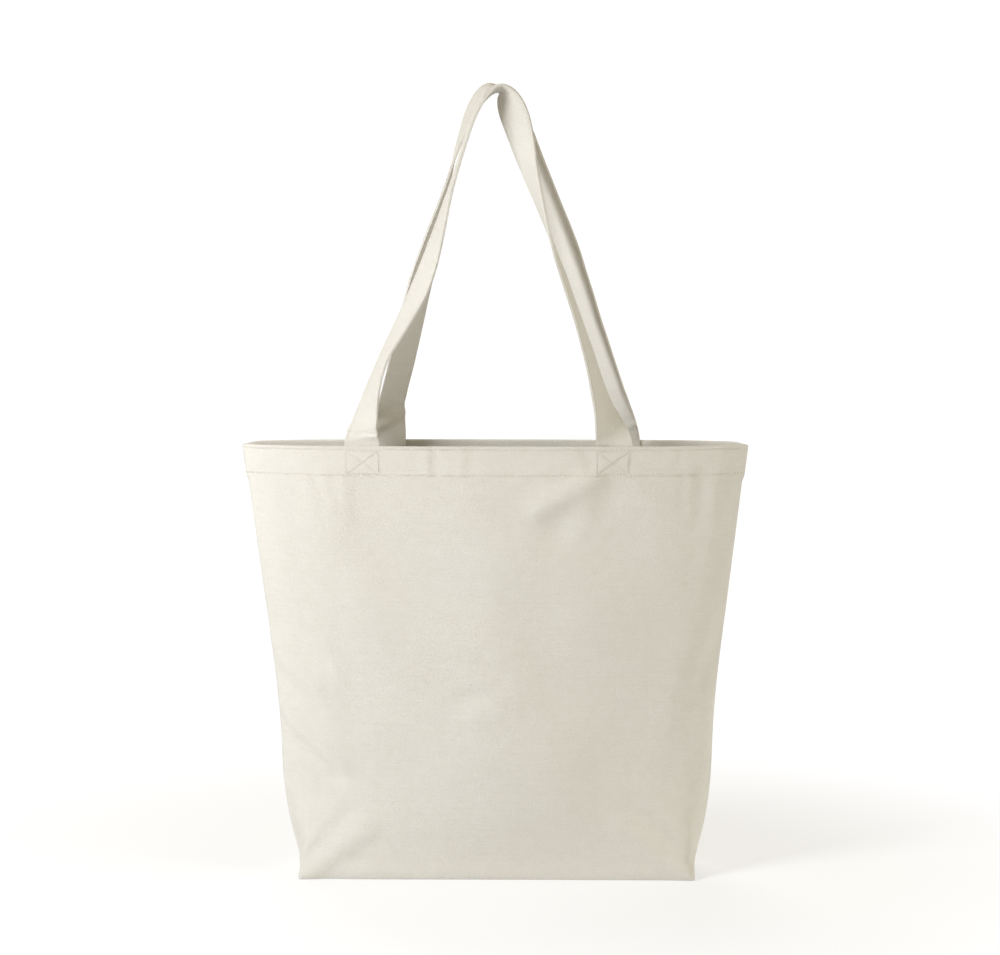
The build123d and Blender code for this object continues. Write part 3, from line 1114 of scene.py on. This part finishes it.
def sew(name, lines, tree, material, seed, **changes):
    # lines are lists of (point, facing); the result is one plain mesh of stitches
    verts, edges, facings = [], [], []
    for line in lines:
        for k, (point, facing) in enumerate(line):
            if k:
                edges.append((len(verts) - 1, len(verts)))
            verts.append(point)
            facings.append(facing)
    mesh = bpy.data.meshes.new(name + "Line")
    mesh.from_pydata(verts, edges, [])
    attribute = mesh.attributes.new("facing", "FLOAT_VECTOR", "POINT")
    for slot, facing in zip(attribute.data, facings):
        slot.vector = facing
    guide = addObject(name + "Line", mesh)
    modifier = guide.modifiers.new("stitches", "NODES")
    modifier.node_group = tree
    rules = dict(stitching, **changes)
    values = {key.capitalize(): value for key, value in rules.items()}
    values.update({"Seed": seed, "Material": material})
    for item in tree.interface.items_tree:
        if item.in_out == "INPUT" and item.name in values:
            modifier[item.identifier] = values[item.name]
    guide.update_tag()
    depsgraph = bpy.context.evaluated_depsgraph_get()
    made = bpy.data.meshes.new_from_object(guide.evaluated_get(depsgraph))
    made.name = name
    bpy.data.objects.remove(guide)
    return addObject(name, made)


def skinLine(side, path):
    # a line over the panel's outer face: path is (along the cloth in metres, height)
    line = []
    for run, height in path:
        normal = skinNormal(side, run / clothHalf, height)
        point = skin(side, run / clothHalf, height) - normal * (drawnIn(height) - rowLift)
        line.append((point, normal))
    return line


def spread(start, end, count):
    shares = [k / count for k in range(count + 1)]
    return [(mix(start[0], end[0], share), mix(start[1], end[1], share)) for share in shares]


def sewRims(tree, material):
    made = []
    reach = clothHalf * 0.996
    for node, height, seed in (("rim_stitching", rimRowHeight, 1), ("hem_stitching", hemRowHeight, 2)):
        path = spread((-reach, height), (reach, height), 180)
        lines = [skinLine(side, path) for side in sideSign]
        piece = sew(node + "Thread", lines, tree, material, seed)
        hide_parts(node)
        made.append(piece)
    return made


def stitchBox(node):
    # middle and half size of a box of stitches, along the cloth and up it
    low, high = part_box(node)
    bottom, top = hemRowHeight + 0.0010, rimRowHeight - 0.0010
    middle = ((low[0] + high[0]) / 2, (bottom + top) / 2)
    return middle, ((high[0] - low[0]) / 2 - 0.0003, (top - bottom) / 2)


def sewBoxes(tree, material):
    made = []
    for side in sideSign:
        for place in ("left", "right"):
            node = f"{side}_{place}_box_stitch"
            (x, z), (wide, tall) = stitchBox(node)
            left, right, bottom, top = x - wide, x + wide, z - tall, z + tall
            corners = [(left, bottom), (right, bottom), (right, top), (left, top), (left, bottom)]
            lines = [skinLine(side, spread(a, b, 12)) for a, b in zip(corners, corners[1:])]
            lines.append(skinLine(side, spread((left, bottom), (right, top), 16)))
            lines.append(skinLine(side, spread((left, top), (right, bottom), 16)))
            piece = sew(node + "Thread", lines, tree, material, 5)
            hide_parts(node)
            made.append(piece)
    return made


def sewStrapEdges(name, frames, tree, material):
    row = straps["width"] / 2 - straps["edgeRow"]
    lift = straps["thickness"] / 2 - straps["edgeRowSink"]
    sewn = [frame for frame in frames if frame[0].z > straps["edgeRowFrom"]]
    lines = []
    for place in (-row, row):
        for face in (-1, 1):
            lines.append([(strapPoint(name, frame, place, lift * face), frame[2] * face) for frame in sewn])
    piece = sew(name + "EdgeThread", lines, tree, material, 9)
    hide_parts(name + "_edge_stitching")
    return piece


overlock = {
    "pitch": 0.0028,  # from loop to loop
    "slant": 0.0009,
    "over": 0.0002,  # how far a loop stands past the cut edge
    "bead": 0.0004,  # how far the bead on the edge does
    "loopStitch": {"pitch": 0.0022, "length": 0.0026, "lean": 0.0},
    "beadStitch": {"pitch": 0.0026, "length": 0.0027},
}


def sewOverlock(name, line, out, tree, material, seed, thick):
    # loops bound round a cut edge: bars on both faces, a bead on the edge and a needle row on each face
    span = seamCut["overlock"]
    points = [point for point, up in line]
    length = sum((after - here).length for here, after in zip(points, points[1:]))
    count = max(int(length / overlock["pitch"]), 2)
    bars = []
    for k in range(count + 1):
        spot = k / count * (len(line) - 1)
        low = min(int(spot), len(line) - 2)
        point = points[low].lerp(points[low + 1], spot - low)
        up = line[low][1].lerp(line[low + 1][1], spot - low).normalized()
        ahead = (points[low + 1] - points[low]).normalized()
        for face in (-1, 1):
            top = point + up * face * thick
            inner = top - out * span + ahead * overlock["slant"] * face
            bar = (inner, top - out * span * 0.5, top + out * overlock["over"])
            bars.append([(where, up * face) for where in bar])
    rows = [[(point + out * overlock["bead"], out) for point in points]]
    for face in (-1, 1):
        rows.append([(point - out * span + up * face * thick, up * face) for point, up in line])
    loops = sew(name + "Loops", bars, tree, material, seed, **overlock["loopStitch"])
    beads = sew(name + "Bead", rows, tree, material, seed + 1, **overlock["beadStitch"])
    return joined(name, [loops, beads])


def joined(name, pieces):
    bpy.ops.object.select_all(action="DESELECT")
    for piece in pieces:
        piece.select_set(True)
    bpy.context.view_layer.objects.active = pieces[0]
    bpy.ops.object.join()
    pieces[0].name = name
    return pieces[0]


def sewSide(place, end, tree, material):
    # the lockstitch and the overlock of one side seam
    depth = seamCut["depth"]
    top = rimHeight - bag["hem"] - 0.003
    line, needle = [], []
    for k in range(73):
        height = mix(0.006, top, k / 72)
        edges = [allowancePoint(side, end, height, depth) for side in sideSign]
        line.append(((edges[0] + edges[1]) / 2, Vector((0, 1, 0))))
        inner = allowancePoint("front", end, height, depth - seamCut["overlock"] - 0.0018)
        needle.append((inner - Vector((0, bag["cloth"], 0)), Vector((0, -1, 0))))
    thick = seamCut["gap"] + bag["cloth"] + 0.0002
    edge = sewOverlock(f"{place}SideOverlock", line, Vector((-end, 0, 0)), tree, material, 11, thick)
    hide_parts(f"{place}_side_overlock")
    seam = sew(f"{place}SideSeamThread", [needle], tree, material, 13)
    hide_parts(f"{place}_side_seam_thread")
    return [edge, seam]


def sewBottom(tree, material):
    low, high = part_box("bottom_overlock")
    level = sum(seamCut["bottomLift"].values()) / 2
    line = [(Vector((mix(low[0], high[0], k / 60), seamCut["depth"], level)), Vector((0, 0, 1)))
            for k in range(61)]
    piece = sewOverlock("bottomOverlockThread", line, Vector((0, 1, 0)), tree, material, 17, 0.0012)
    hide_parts("bottom_overlock")
    return piece


def sewCorner(place, end, tree, material):
    low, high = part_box(f"{place}_corner_overlock")
    x = end * (bag["baseHalf"] - seamCut["cornerDepth"])
    line = [(Vector((x, mix(low[1], high[1], k / 20), seamCut["cornerLift"])), Vector((0, 0, 1)))
            for k in range(21)]
    piece = sewOverlock(f"{place}CornerOverlock", line, Vector((-end, 0, 0)), tree, material, 19, 0.0011)
    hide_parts(f"{place}_corner_overlock")
    return piece


def sewInside(tree, material):
    ends = (("left", -1), ("right", 1))
    made = []
    for place, end in ends:
        made += sewSide(place, end, tree, material)
    made.append(sewBottom(tree, material))
    for place, end in ends:
        made.append(sewCorner(place, end, tree, material))
    return made


# Everything put together.
def main():
    makeCamera()
    makeLights()
    makeStage()
    print("camera, light and floor made")
    simulateSlack()
    strapCanvas = clothMaterial("strapCanvas", dict(canvasLook, thread=0.00058))
    thread = threadMaterial("thread", threadLook)
    tree = stitchTree()

    stitchRows = (rimRowHeight, hemRowHeight)
    flat = (2 * clothHalf, rimHeight + bag["hem"] + baseDepthHalf + seamCut["depth"])
    for side in sideSign:
        boxes = [stitchBox(f"{side}_{place}_box_stitch") for place in ("left", "right")]
        panel = makePanel(side, clothMaterial(side + "Canvas", canvasLook, stitchRows, boxes))
        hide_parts(f"{side}_panel")
        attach(panel, "bag")
        flat[0] * flat[1] - 2 * baseDepthHalf**2
    for piece in sewRims(tree, thread) + sewBoxes(tree, thread) + sewInside(tree, thread):
        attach(piece, "bag")
    print("bag sewn")

    for side, sign in sideSign.items():
        name = f"{side}_handle"
        strap, frames = makeStrap(name, strapCanvas)
        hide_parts(name, name + "_left_end", name + "_right_end")
        edges = sewStrapEdges(name, frames, tree, thread)
        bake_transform(strap)
        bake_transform(edges)
        flat = (straps["width"], frames[-1][3])
    print("all pieces made")


main()
